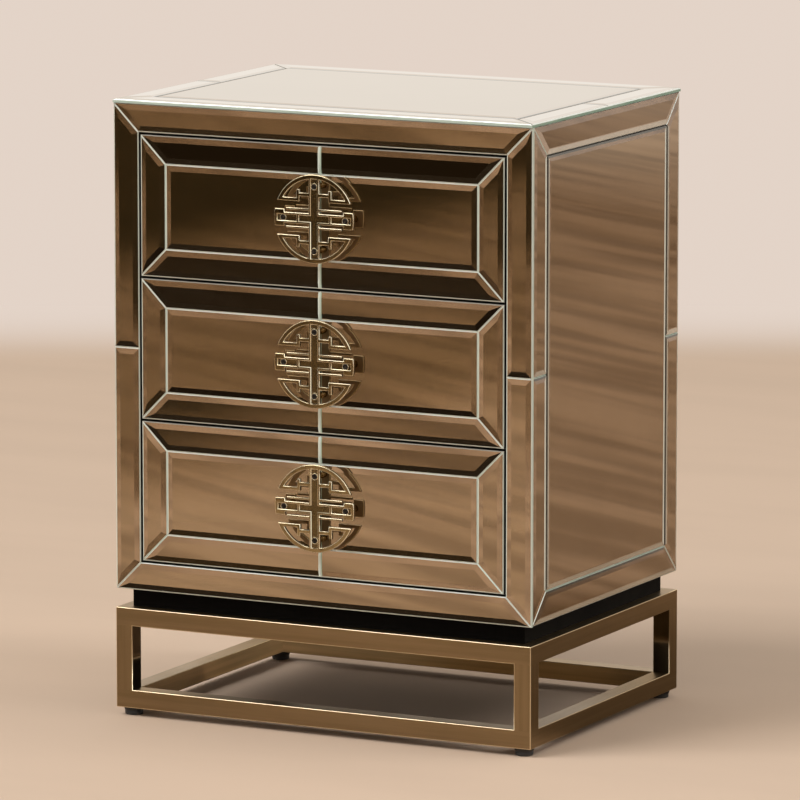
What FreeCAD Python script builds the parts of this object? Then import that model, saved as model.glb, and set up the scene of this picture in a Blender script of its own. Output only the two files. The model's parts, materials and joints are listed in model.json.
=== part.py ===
import FreeCAD
import Part
import Sketcher
import math
import os
import re

# Driving dimensions in millimetres
SIZES = {
    # Cabinet, measured over its glass
    "cabinet_width": 500,
    "cabinet_depth": 368,
    "cabinet_height": 534.5,
    # Mirror tiles: plate, wide bevel round the face and the small polished arris outside it
    "glass_thickness": 5,
    "bevel_width": 7,
    "bevel_depth": 1.2,
    "arris": 1,
    "front_strip": 30.5,
    "side_strip": 33,
    "top_strip": 33,
    "drawer_strip": 30.5,
    # Carcass boards
    "panel_thickness": 15,
    "frame_thickness": 18,
    "back_thickness": 5,
    # Drawers
    "drawer_gap": 2.5,
    "drawer_front_thickness": 16,
    "drawer_side_thickness": 12,
    "drawer_bottom_thickness": 5,
    "drawer_side_lift": 18,
    "drawer_side_drop": 18,
    "drawer_back_space": 42,
    "groove_lift": 8,
    "groove_depth": 6,
    "groove_clearance": 0.2,
    # Side slides: a channel on the cabinet and a member on the drawer
    "slide_thickness": 12.7,
    "slide_height": 45,
    "slide_metal": 1.2,
    "slide_play": 0.3,
    "slide_tip_gap": 1.2,
    "slide_nose_gap": 2,
    "slide_setback": 2,
    "packer_margin": 8,
    # Base of square tube, its tabs and bolts, the plinth board and the foot glides
    "base_height": 110.5,
    "tube_width": 20,
    "tube_wall": 1.5,
    "tab_width": 40,
    "tab_reach": 30,
    "tab_thickness": 3,
    "bolt_inset": 80,
    "bolt_diameter": 6,
    "bolt_head_diameter": 11,
    "bolt_head_height": 4,
    "bolt_bite": 10,
    "plinth_height": 20.5,
    "plinth_inset": 14,
    "glide_height": 9,
    "glide_diameter": 22,
    "glide_taper": 1.5,
    "glide_inset": 14,
    # Round fretwork pulls, standing off the glass on spacers
    "pull_diameter": 95,
    "pull_thickness": 4,
    "pull_standoff": 9.5,
    "pull_ring_width": 5,
    "pull_stem_width": 13,
    "pull_bar_height": 12,
    "pull_block_height": 18.5,
    "pull_block_start": 35,
    "pull_fret_width": 4,
    "pull_arm_level": 20,
    "pull_hook_offset": 19,
    "pull_hook_top": 31,
    "pull_link_level": 25.5,
    "pull_spur_level": 9.8,
    "pull_spur_width": 2.6,
    "pull_spur_reach": 33,
    "pull_rim": 2.8,
    "pull_recess": 0.9,
    "pull_rib": 3,
    "pull_rib_offset": 19.3,
    "pull_end_rim": 4,
    "pull_screw_level": 34.5,
    "pull_screw_spread": 37,
    "pull_screw_diameter": 4,
    "pull_screw_head": 5.8,
    "pull_screw_bite": 11,
    "pull_spacer_diameter": 8,
    # Countersunk screws round the back panel
    "back_screw_diameter": 3,
    "back_screw_head": 7,
    "back_screw_sink": 2.5,
    "back_screw_length": 18,
    "back_screw_inset": 40,
    # Room round a screw's shank and beyond its tip
    "screw_clearance": 0.15,
    "hole_room": 1,
}

DRAWERS = ["lower_drawer", "middle_drawer", "upper_drawer"]
BACK_SCREW_ROWS = 4
SIDES = {"left": -1, "right": 1}
ENDS = (-1, 1)
# Corners of the base: the side, the edge and the way in from that edge
CORNERS = [(across, edge, along) for across in ENDS for edge, along in (("front", 1), ("back", -1))]

# Places and sizes worked out from the driving dimensions.
# The origin is on the floor, under the middle of the whole object with its pulls.
PLACES = {
    "pull_reach": "pull_standoff + pull_thickness",
    "front": "(pull_reach - cabinet_depth) / 2",
    "back": "front + cabinet_depth",
    "half_width": "cabinet_width / 2",
    "base_top": "glide_height + base_height",
    "cabinet_bottom": "base_top + plinth_height",
    "cabinet_top": "cabinet_bottom + cabinet_height",
    "front_bed": "front + glass_thickness",
    "side_bed": "half_width - glass_thickness",
    "top_bed": "cabinet_top - glass_thickness",
    "frame_back": "front_bed + frame_thickness",
    "panel_inside": "side_bed - panel_thickness",
    "back_inside": "back - back_thickness",
    "opening_half": "half_width - front_strip",
    "opening_low": "cabinet_bottom + front_strip",
    "opening_high": "top_bed - front_strip",
    "drawer_half": "opening_half - drawer_gap",
    "drawer_pitch": f"(opening_high - opening_low - drawer_gap) / {len(DRAWERS)}",
    "drawer_height": "drawer_pitch - drawer_gap",
    "drawer_front_back": "front_bed + drawer_front_thickness",
    "box_half": "opening_half - slide_thickness",
    "box_inside": "box_half - drawer_side_thickness",
    "box_back": "back_inside - drawer_back_space",
    "slide_front": "frame_back + slide_setback",
    "pull_radius": "pull_diameter / 2",
    "pull_face": "front - pull_reach",
    "pull_floor": "pull_face + pull_recess",
    "pull_back": "front - pull_standoff",
    "drill_radius": "pull_screw_diameter / 2 + screw_clearance",
    "bolt_along": "half_width - bolt_inset",
    "bolt_in": "tube_width + tab_reach / 2",
    "bolt_drill_radius": "bolt_diameter / 2 + screw_clearance",
}

# Local X, Y and Z of a sketch turned to lie on each face of the cabinet, Z pointing outwards
FACINGS = {
    "front": FreeCAD.Rotation(FreeCAD.Vector(1, 0, 0), 90),
    "right": FreeCAD.Rotation(FreeCAD.Vector(1, 1, 1), 120),
    "left": FreeCAD.Rotation(FreeCAD.Vector(0, 0, 1), 180) * FreeCAD.Rotation(FreeCAD.Vector(1, 1, 1), 120),
    "back": FreeCAD.Rotation(FreeCAD.Vector(1, 0, 0), -90),
    "top": FreeCAD.Rotation(),
}

doc = FreeCAD.newDocument("MirroredNightstand")
sheet = doc.addObject("Spreadsheet::Sheet", "Sizes")
nodes = []
tiles = []


def fill_sheet():
    for row, (alias, value) in enumerate(SIZES.items(), 1):
        sheet.set(f"A{row}", alias)
        sheet.set(f"B{row}", str(value))
        sheet.setAlias(f"B{row}", alias)
    doc.recompute()


def formula(text):
    """Write a formula in plain names as an expression on the sheet's cells."""
    def put(match):
        word = match.group(0)
        if word in PLACES:
            return "(" + formula(PLACES[word]) + ")"
        if word not in SIZES:
            raise KeyError(word)
        return "Sizes." + word
    return re.sub("[a-z_]+", put, text)


def bind(item, bindings):
    for path, text in bindings.items():
        item.setExpression(path, formula(text))


def place(item, at, facing="top"):
    item.Placement = FreeCAD.Placement(FreeCAD.Vector(), FACINGS[facing])
    for axis, text in zip("xyz", at):
        bind(item, {f"Placement.Base.{axis}": text})


def span(sign, near, far):
    """Low and high end of a stretch given by its distances from the middle, on one side."""
    if sign > 0:
        return near, far
    return f"-({far})", f"-({near})"


def around(middle, width):
    return f"{middle} - ({width}) / 2", f"{middle} + ({width}) / 2"


def inward(along, edge, near, far):
    """Low and high end of a stretch given by its distances in from the front or the back."""
    ends = [f"{edge} + {along} * ({distance})" for distance in (near, far)]
    return ends if along > 0 else ends[::-1]


def block(name, x, y, z):
    """Box between a low and a high formula on each axis."""
    box = doc.addObject("Part::Box", name)
    for path, (low, high) in zip(("Length", "Width", "Height"), (x, y, z)):
        bind(box, {path: f"({high}) - ({low})"})
    place(box, (x[0], y[0], z[0]))
    return box


def rod(name, radius, length, at, facing="top"):
    cylinder = doc.addObject("Part::Cylinder", name)
    bind(cylinder, {"Radius": radius, "Height": length})
    place(cylinder, at, facing)
    return cylinder


def taper(name, radius_start, radius_end, length, at, facing="top"):
    cone = doc.addObject("Part::Cone", name)
    bind(cone, {"Radius1": radius_start, "Radius2": radius_end, "Height": length})
    place(cone, at, facing)
    return cone


def group(name, members):
    compound = doc.addObject("Part::Compound", name)
    compound.Links = members
    return compound


def fuse(name, members):
    union = doc.addObject("Part::MultiFuse", name)
    union.Shapes = members
    union.Refine = True
    return union


def cut(name, base, tool):
    result = doc.addObject("Part::Cut", name)
    result.Base = base
    result.Tool = tool
    return result


def common(name, base, tool):
    result = doc.addObject("Part::Common", name)
    result.Base = base
    result.Tool = tool
    return result


def node(name, item):
    item.Label = name
    nodes.append(item)


def prism(name, corners, length, at, facing):
    """Body padded outwards from a closed outline of straight sides."""
    body = doc.addObject("PartDesign::Body", name)
    sketch = body.newObject("Sketcher::SketchObject", f"{name}_outline")
    plane = next(item for item in body.Origin.OriginFeatures if item.Role == "XY_Plane")
    sketch.AttachmentSupport = (plane, [""])
    sketch.MapMode = "FlatFace"
    count = len(corners)
    turns = [2 * math.pi * index / count for index in range(count)]
    start = [FreeCAD.Vector(math.cos(turn), math.sin(turn), 0) for turn in turns]
    for index in range(count):
        sketch.addGeometry(Part.LineSegment(start[index], start[(index + 1) % count]), False)
    for index in range(count):
        sketch.addConstraint(Sketcher.Constraint("Coincident", index, 2, (index + 1) % count, 1))
    for index, corner in enumerate(corners):
        for kind, guess, text in zip(("DistanceX", "DistanceY"), start[index], corner):
            number = sketch.addConstraint(Sketcher.Constraint(kind, -1, 1, index, 1, guess))
            bind(sketch, {f"Constraints[{number}]": text})
    pad = body.newObject("PartDesign::Pad", f"{name}_pad")
    pad.Profile = sketch
    bind(pad, {"Length": length})
    place(body, at, facing)
    return body


def tile(name, corners, at, facing, plain_middle=False):
    """Mirror tile, bevelled round its face. A plain middle leaves the edge on the centre line square."""
    body = prism(name, corners, "glass_thickness", at, facing)
    tiles.append((body, plain_middle))
    return body


def face_edges(shape, height, plain_middle):
    """Names of the edges round the outer face at a height, without one on the centre line."""
    chosen = []
    for number, edge in enumerate(shape.Edges, 1):
        ends = edge.Vertexes
        on_face = all(math.isclose(end.Z, height, abs_tol=1e-6) for end in ends)
        in_middle = all(math.isclose(end.X, 0, abs_tol=1e-6) for end in ends)
        if on_face and not (plain_middle and in_middle):
            chosen.append(f"Edge{number}")
    return chosen


def rim_edges(shape):
    """Names of the upper edges of the tile's upright sides."""
    up = FreeCAD.Vector(0, 0, 1)
    rims = []
    for face in shape.Faces:
        if abs(face.normalAt(0, 0).z) > 1e-6:
            continue
        for edge in face.Edges:
            low, high = edge.Vertexes
            upright = (high.Point - low.Point).cross(up).Length < 1e-6
            if not upright and max(low.Z, high.Z) > 1e-6:
                rims.append(edge)
    return [f"Edge{number}" for number, edge in enumerate(shape.Edges, 1)
            if any(edge.isSame(rim) for rim in rims)]


def bevel_tiles():
    doc.recompute()
    bevels = []
    for body, plain_middle in tiles:
        pad = body.Tip
        bevel = body.newObject("PartDesign::Chamfer", f"{body.Name}_bevel")
        bevel.Base = (pad, face_edges(pad.Shape, pad.Length.Value, plain_middle))
        bevel.ChamferType = "Two distances"
        bind(bevel, {"Size": "bevel_depth", "Size2": "bevel_width"})
        bevels.append((body, bevel))
    doc.recompute()
    for body, bevel in bevels:
        arris = body.newObject("PartDesign::Chamfer", f"{body.Name}_arris")
        arris.Base = (bevel, rim_edges(bevel.Shape))
        bind(arris, {"Size": "arris"})
    doc.recompute()


def ring_outlines(x, y, strip):
    """Four mitred strips round a rectangle, each as the corners of its outline."""
    (left, right), (low, high) = x, y
    inner_left, inner_right = f"{left} + {strip}", f"{right} - {strip}"
    inner_low, inner_high = f"{low} + {strip}", f"{high} - {strip}"
    return {
        "bottom": [(left, low), (right, low), (inner_right, inner_low), (inner_left, inner_low)],
        "top": [(left, high), (right, high), (inner_right, inner_high), (inner_left, inner_high)],
        "left": [(left, low), (left, high), (inner_left, inner_high), (inner_left, inner_low)],
        "right": [(right, low), (right, high), (inner_right, inner_high), (inner_right, inner_low)],
    }


def centre_outline(x, y, strip):
    left, right = f"{x[0]} + {strip}", f"{x[1]} - {strip}"
    low, high = f"{y[0]} + {strip}", f"{y[1]} - {strip}"
    return [(left, low), (right, low), (right, high), (left, high)]


def halves(outline, middle, axis):
    """Split a four-cornered strip or panel on its middle line, across one axis."""
    first, second, third, fourth = outline
    near, far = [(middle, y) if axis == "x" else (x, middle) for x, y in (first, third)]
    return [first, near, far, fourth], [near, second, third, far]


def mirror_frame(name, x, y, strip, at, facing):
    """Border of mitred tiles, with its two upright strips each in two lengths."""
    outlines = ring_outlines(x, y, strip)
    rails = [tile(f"{name}_{end}", outlines[end], at, facing) for end in ("bottom", "top")]
    middle = f"(({y[0]}) + ({y[1]})) / 2"
    stiles = []
    for end in ("left", "right"):
        for length, corners in zip(("low", "high"), halves(outlines[end], middle, "y")):
            stiles.append(tile(f"{name}_{end}_{length}", corners, at, facing))
    return rails, stiles


def cabinet_mirrors():
    heights = ("cabinet_bottom", "top_bed")
    widths, at = ("-half_width", "half_width"), ("0", "front_bed", "0")
    rails, stiles = mirror_frame("front_tile", widths, heights, "front_strip", at, "front")
    node("front_rail_mirrors", group("front_rail_tiles", rails))
    node("front_stile_mirrors", group("front_stile_tiles", stiles))
    depths = {"left": ("-(back)", "-(front_bed)"), "right": ("front_bed", "back")}
    for side, sign in SIDES.items():
        at = (f"{sign} * (side_bed)", "0", "0")
        rails, stiles = mirror_frame(f"{side}_tile", depths[side], heights, "side_strip", at, side)
        node(f"{side}_side_border_mirrors", group(f"{side}_border_tiles", rails + stiles))
        corners = centre_outline(depths[side], heights, "side_strip")
        node(f"{side}_side_centre_mirror", tile(f"{side}_centre_tile", corners, at, side))
    depth, at = ("front", "back"), ("0", "0", "top_bed")
    rails, stiles = mirror_frame("top_tile", widths, depth, "top_strip", at, "top")
    node("top_border_mirrors", group("top_border_tiles", rails + stiles))
    corners = centre_outline(widths, depth, "top_strip")
    node("top_centre_mirror", tile("top_centre_tile", corners, at, "top"))


def back_screws():
    """Screws round the edge of the back panel, and the holes that they take."""
    screws, holes = [], []
    run = f"(top_bed - cabinet_bottom - 2 * back_screw_inset) / {BACK_SCREW_ROWS - 1}"
    levels = [f"cabinet_bottom + back_screw_inset + {row} * {run}" for row in range(BACK_SCREW_ROWS)]
    edge = "side_bed - panel_thickness / 2"
    spots = [(f"{sign} * ({edge})", level) for sign in ENDS for level in levels]
    spots += [("0", "cabinet_bottom + panel_thickness / 2"), ("0", "top_bed - panel_thickness / 2")]
    for number, (x, z) in enumerate(spots, 1):
        at = (x, "back", z)
        for kind, room, beyond, chosen in (("screw", "0", "0", screws),
                                           ("hole", "screw_clearance", "hole_room", holes)):
            head = taper(f"back_{kind}_head_{number}", f"back_screw_head / 2 + {room}",
                         f"back_screw_diameter / 2 + {room}", "back_screw_sink", at, "front")
            shank = rod(f"back_{kind}_shank_{number}", f"back_screw_diameter / 2 + {room}",
                        f"back_screw_length + {beyond}", at, "front")
            chosen.append(fuse(f"back_{kind}_{number}", [head, shank]))
    node("back_panel_screws", group("back_screw_set", screws))
    return group("back_screw_holes", holes)


def base_bolts():
    """Bolts up through the tabs and the plinth into the bottom board, and the holes that they take."""
    bolts, holes = [], []
    seat = "base_top - tab_thickness"
    run = "tab_thickness + plinth_height + bolt_bite"
    for number, (across, edge, along) in enumerate(CORNERS, 1):
        x, y = f"{across} * (bolt_along)", f"{edge} + {along} * (bolt_in)"
        under = (x, y, f"{seat} - bolt_head_height")
        head = rod(f"bolt_head_{number}", "bolt_head_diameter / 2", "bolt_head_height", under)
        shank = rod(f"bolt_shank_{number}", "bolt_diameter / 2", f"bolt_head_height + {run}", under)
        bolts.append(fuse(f"bolt_{number}", [head, shank]))
        holes.append(rod(f"bolt_hole_{number}", "bolt_drill_radius", f"{run} + hole_room", (x, y, seat)))
    node("base_bolts", group("bolt_set", bolts))
    return group("bolt_holes", holes)


def carcass(screw_holes, bolt_holes):
    heights = ("cabinet_bottom", "top_bed")
    behind_frame = ("frame_back", "back_inside")
    frame = ("front_bed", "frame_back")
    for side, sign in SIDES.items():
        board = block(f"{side}_board", span(sign, "panel_inside", "side_bed"), behind_frame, heights)
        node(f"{side}_side_panel", cut(f"{side}_panel", board, screw_holes))
        stile = block(f"{side}_frame_stile", span(sign, "opening_half", "side_bed"), frame, heights)
        node(f"{side}_stile", stile)
    between = ("-(panel_inside)", "panel_inside")
    top = block("top_board", between, behind_frame, ("top_bed - panel_thickness", "top_bed"))
    node("top_panel", cut("top_panel_cut", top, screw_holes))
    bottom_heights = ("cabinet_bottom", "cabinet_bottom + panel_thickness")
    bottom = block("bottom_board", between, behind_frame, bottom_heights)
    bottom = cut("bottom_board_drilled", bottom, bolt_holes)
    node("bottom_panel", cut("bottom_panel_cut", bottom, screw_holes))
    across = ("-(opening_half)", "opening_half")
    node("top_rail", block("top_frame_rail", across, frame, ("opening_high", "top_bed")))
    node("bottom_rail", block("bottom_frame_rail", across, frame, ("cabinet_bottom", "opening_low")))
    back = block("back_board", ("-(side_bed)", "side_bed"), ("back_inside", "back"), heights)
    node("back_panel", cut("back_panel_cut", back, screw_holes))


def base_frame(bolt_holes):
    """Two rings of mitred hollow tube, one above the other, with a post at each corner."""
    width, depth = ("-half_width", "half_width"), ("front", "back")
    bore_width, bore_depth = [(f"{low} + tube_wall", f"{high} - tube_wall") for low, high in (width, depth)]
    bore = "(tube_width - 2 * tube_wall)"
    levels = {"bottom": "glide_height", "top": "base_top - tube_width"}
    for level, low in levels.items():
        skins = ring_outlines(width, depth, "tube_width")
        bores = ring_outlines(bore_width, bore_depth, bore)
        tubes = []
        for end in skins:
            name = f"base_{level}_{end}"
            skin = prism(f"{name}_skin", skins[end], "tube_width", ("0", "0", low), "top")
            core = prism(f"{name}_core", bores[end], bore, ("0", "0", f"{low} + tube_wall"), "top")
            tubes.append(cut(f"{name}_tube", skin, core))
        node(f"base_{level}_rails", group(f"base_{level}_ring", tubes))
    posts, tabs = [], []
    heights = ("glide_height + tube_width", "base_top - tube_width")
    for number, (across, edge, along) in enumerate(CORNERS, 1):
        x = span(across, "half_width - tube_width", "half_width")
        y = inward(along, edge, "0", "tube_width")
        bore_x, bore_y = [(f"{low} + tube_wall", f"{high} - tube_wall") for low, high in (x, y)]
        skin = block(f"post_skin_{number}", x, y, heights)
        posts.append(cut(f"post_{number}", skin, block(f"post_core_{number}", bore_x, bore_y, heights)))
        tabs.append(block(f"tab_{number}", around(f"{across} * (bolt_along)", "tab_width"),
                          inward(along, edge, "tube_width", "tube_width + tab_reach"),
                          ("base_top - tab_thickness", "base_top")))
    node("base_posts", group("base_post_set", posts))
    node("base_tabs", cut("base_tabs_cut", group("tab_set", tabs), bolt_holes))


def plinth_and_glides(bolt_holes):
    board = block("plinth_board", ("-half_width + plinth_inset", "half_width - plinth_inset"),
                  ("front + plinth_inset", "back - plinth_inset"), ("base_top", "cabinet_bottom"))
    node("plinth", cut("plinth_cut", board, bolt_holes))
    glides = []
    for number, (across, edge, along) in enumerate(CORNERS, 1):
        at = (f"{across} * (half_width - glide_inset)", f"{edge} + {along} * glide_inset", "0")
        glides.append(taper(f"glide_{number}", "glide_diameter / 2 - glide_taper",
                            "glide_diameter / 2", "glide_height", at))
    node("foot_glides", group("glide_set", glides))


def drawer_levels(index):
    """Formulas for the heights of one drawer's front, box and slide."""
    low = f"(opening_low + drawer_gap + {index} * drawer_pitch)"
    box = (f"{low} + drawer_side_lift", f"{low} + drawer_height - drawer_side_drop")
    middle = f"(({box[0]} + {box[1]}) / 2)"
    return {
        "front": (low, f"{low} + drawer_height"),
        "box": box,
        "bottom": (f"{box[0]} + groove_lift", f"{box[0]} + groove_lift + drawer_bottom_thickness"),
        "slide": around(middle, "slide_height"),
        "packer": around(middle, "(slide_height + 2 * packer_margin)"),
        "pull": f"({low} + drawer_height / 2)",
    }


def channel(name, web, turn, reach, heights, sign):
    """Length of folded steel: an upright web with flanges that turn in or out at its top and bottom."""
    low, high = heights
    face = f"{sign} * ({web})"
    inside = f"{sign} * ({web} + {turn} * slide_metal)"
    end = f"{sign} * ({web} + {turn} * ({reach}))"
    under, over = f"{low} + slide_metal", f"{high} - slide_metal"
    corners = [(face, low), (face, high), (end, high), (end, over),
               (inside, over), (inside, under), (end, under), (end, low)]
    return prism(name, corners, "box_back - slide_front", ("0", "box_back", "0"), "front")


def slides(levels_of):
    """Cabinet channels of all the slides and the boards that pack them out to the opening."""
    channels, packers = [], []
    for drawer, levels in levels_of.items():
        for side, sign in SIDES.items():
            channels.append(channel(f"{drawer}_{side}_channel", "opening_half", -1,
                                    "slide_thickness - slide_tip_gap", levels["slide"], sign))
            packers.append(block(f"{drawer}_{side}_packer", span(sign, "opening_half", "panel_inside"),
                                 ("frame_back", "box_back"), levels["packer"]))
    node("slide_channels", group("channel_set", channels))
    node("slide_packers", group("packer_set", packers))


def drawer_box(drawer, levels, drills):
    bottom_low, bottom_high = levels["bottom"]
    length = ("drawer_front_back", "box_back")
    groove = (bottom_low, f"{bottom_high} + groove_clearance")
    front = block(f"{drawer}_front_board", ("-(drawer_half)", "drawer_half"),
                  ("front_bed", "drawer_front_back"), levels["front"])
    front_groove = block(f"{drawer}_front_groove",
                         ("-(box_inside + groove_depth)", "box_inside + groove_depth"),
                         ("drawer_front_back - groove_depth", "drawer_front_back"), groove)
    front = cut(f"{drawer}_front_grooved", front, front_groove)
    node(f"{drawer}_front_panel", cut(f"{drawer}_front_drilled", front, drills))
    for side, sign in SIDES.items():
        board = block(f"{drawer}_{side}_board", span(sign, "box_inside", "box_half"), length, levels["box"])
        groove_x = span(sign, "box_inside", "box_inside + groove_depth")
        side_groove = block(f"{drawer}_{side}_groove", groove_x, length, groove)
        node(f"{drawer}_{side}_side", cut(f"{drawer}_{side}_grooved", board, side_groove))
    between = ("-(box_inside)", "box_inside")
    node(f"{drawer}_back", block(f"{drawer}_back_board", between,
                                 ("box_back - drawer_side_thickness", "box_back"),
                                 (bottom_high, levels["box"][1])))
    reach = "box_inside + groove_depth - groove_clearance"
    node(f"{drawer}_bottom", block(f"{drawer}_bottom_board", (f"-({reach})", reach),
                                   ("drawer_front_back - groove_depth + groove_clearance", "box_back"),
                                   (bottom_low, bottom_high)))
    low, high = levels["slide"]
    inside = (f"{low} + slide_metal + slide_play", f"{high} - slide_metal - slide_play")
    members = [channel(f"{drawer}_{side}_member", "box_half", 1,
                       "slide_thickness - slide_metal - slide_nose_gap", inside, sign)
               for side, sign in SIDES.items()]
    node(f"{drawer}_slide_members", group(f"{drawer}_member_set", members))


def drawer_mirrors(drawer, levels, drills):
    """Mitred border and two centre panels, joined on a plain edge down the middle."""
    x, z = ("-(drawer_half)", "drawer_half"), levels["front"]
    at = ("0", "front_bed", "0")
    outlines = ring_outlines(x, z, "drawer_strip")
    border = [tile(f"{drawer}_{end}_tile", outlines[end], at, "front") for end in ("left", "right")]
    for end in ("bottom", "top"):
        for half, corners in zip(SIDES, halves(outlines[end], "0", "x")):
            border.append(tile(f"{drawer}_{end}_{half}_tile", corners, at, "front", plain_middle=True))
    centre = []
    for half, corners in zip(SIDES, halves(centre_outline(x, z, "drawer_strip"), "0", "x")):
        centre.append(tile(f"{drawer}_centre_{half}_tile", corners, at, "front", plain_middle=True))
    for part, members in (("border", border), ("centre", centre)):
        name = f"{drawer}_{part}"
        node(f"{name}_mirrors", cut(f"{name}_drilled", group(f"{name}_set", members), drills))


def pull_fixings(drawer, middle):
    """Four screws and spacers that hold a pull off the glass, and the holes for the screws."""
    spots = [("0", f"{middle} + {sign} * pull_screw_level") for sign in ENDS]
    spots += [(f"{sign} * pull_screw_spread", middle) for sign in ENDS]
    screws, spacers, drills = [], [], []
    run = "pull_reach - pull_recess + glass_thickness + pull_screw_bite"
    for number, (x, z) in enumerate(spots, 1):
        face = (x, "pull_face", z)
        head = rod(f"{drawer}_screw_head_{number}", "pull_screw_head / 2", "pull_recess", face, "back")
        shank = rod(f"{drawer}_screw_shank_{number}", "pull_screw_diameter / 2", f"pull_recess + {run}",
                    face, "back")
        screws.append(fuse(f"{drawer}_screw_{number}", [head, shank]))
        drills.append(rod(f"{drawer}_drill_{number}", "drill_radius", f"{run} + hole_room",
                          (x, "pull_floor", z), "back"))
        sleeve = rod(f"{drawer}_sleeve_{number}", "pull_spacer_diameter / 2", "pull_standoff",
                     (x, "pull_back", z), "back")
        sleeve_bore = rod(f"{drawer}_sleeve_bore_{number}", "drill_radius", "pull_standoff",
                          (x, "pull_back", z), "back")
        spacers.append(cut(f"{drawer}_spacer_{number}", sleeve, sleeve_bore))
    node(f"{drawer}_pull_screws", group(f"{drawer}_screw_set", screws))
    node(f"{drawer}_pull_spacers", group(f"{drawer}_spacer_set", spacers))
    return group(f"{drawer}_drills", drills)


def pull_plate(drawer, middle, drills):
    """Openwork disc: a cross with end blocks inside a ring in four parts, each with a key fret."""
    plate = ("pull_face", "pull_back")
    pieces = []

    def bar(x, z):
        z = tuple(f"{middle} + ({end})" for end in z)
        pieces.append(block(f"{drawer}_fret_{len(pieces) + 1}", x, plate, z))

    def disc(name, radius):
        return rod(f"{drawer}_{name}", radius, "pull_thickness", ("0", "pull_face", middle), "back")

    half_fret, half_stem = "pull_fret_width / 2", "pull_stem_width / 2"
    ring = cut(f"{drawer}_ring", disc("ring_outer", "pull_radius"),
               disc("ring_inner", "pull_radius - pull_ring_width"))
    side_gap = around(middle, f"2 * (pull_arm_level - {half_fret})")
    band = block(f"{drawer}_ring_gap", ("-(pull_radius)", "pull_radius"), plate, side_gap)
    pieces.append(cut(f"{drawer}_ring_parts", ring, band))
    bar((f"-{half_stem}", half_stem), ("-(pull_radius)", "pull_radius"))
    bar(("-pull_block_start", "pull_block_start"), ("-pull_bar_height / 2", "pull_bar_height / 2"))
    for across in ENDS:
        bar(span(across, "pull_block_start", "pull_radius"), around("0", "pull_block_height"))
        for upward in ENDS:
            hook = f"pull_hook_offset - {half_fret}"
            arm = (f"pull_arm_level - {half_fret}", f"pull_arm_level + {half_fret}")
            link = (f"pull_link_level - {half_fret}", f"pull_link_level + {half_fret}")
            spur = ("pull_spur_level - pull_spur_width / 2", "pull_spur_level + pull_spur_width / 2")
            bar(span(across, hook, "pull_radius"), span(upward, *arm))
            hook_x = span(across, hook, f"pull_hook_offset + {half_fret}")
            bar(hook_x, span(upward, arm[0], "pull_hook_top"))
            bar(span(across, half_stem, "pull_hook_offset"), span(upward, *link))
            bar(span(across, half_stem, "pull_spur_reach"), span(upward, *spur))
    fretwork = fuse(f"{drawer}_fretwork", pieces)
    blank = common(f"{drawer}_pull_blank", fretwork, disc("outline", "pull_radius"))
    sunk = cut(f"{drawer}_pull_sunk", blank, pull_hollows(drawer, middle))
    node(f"{drawer}_pull", cut(f"{drawer}_pull_drilled", sunk, drills))


def pull_hollows(drawer, middle):
    """Shallow floors between the raised rims of the cross, with a rib across each arm."""
    depth = ("pull_face", "pull_floor")
    stem = around("0", "(pull_stem_width - 2 * pull_rim)")
    bar = around(middle, "(pull_bar_height - 2 * pull_rim)")
    inner, outer = around("pull_rib_offset", "pull_rib")
    height = around(middle, "2 * (pull_radius - pull_ring_width)")
    floors = [(stem, height), (around("0", f"2 * ({inner})"), bar)]
    floors += [(span(across, outer, "pull_radius - pull_end_rim"), bar) for across in ENDS]
    boxes = [block(f"{drawer}_floor_{number}", x, depth, z) for number, (x, z) in enumerate(floors, 1)]
    return fuse(f"{drawer}_hollows", boxes)


def check_and_export():
    broken = [item.Name for item in doc.Objects if {"Invalid", "Error"} & set(item.State)]
    for item in nodes:
        if item.Shape.isNull() or not item.Shape.isValid() or not item.Shape.Solids:
            broken.append(item.Label)
    if broken:
        raise RuntimeError("failed: " + ", ".join(broken))
    os.makedirs("parts", exist_ok=True)
    for item in nodes:
        item.Shape.exportStep(f"parts/{item.Label}.step")
    print(len(nodes), "nodes,", sum(len(item.Shape.Solids) for item in nodes), "solids")


fill_sheet()
cabinet_mirrors()
bolt_holes = base_bolts()
carcass(back_screws(), bolt_holes)
base_frame(bolt_holes)
plinth_and_glides(bolt_holes)
levels_of = {drawer: drawer_levels(index) for index, drawer in enumerate(DRAWERS)}
slides(levels_of)
for drawer, levels in levels_of.items():
    drills = pull_fixings(drawer, levels["pull"])
    drawer_box(drawer, levels, drills)
    drawer_mirrors(drawer, levels, drills)
    pull_plate(drawer, levels["pull"], drills)
bevel_tiles()
check_and_export()
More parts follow.
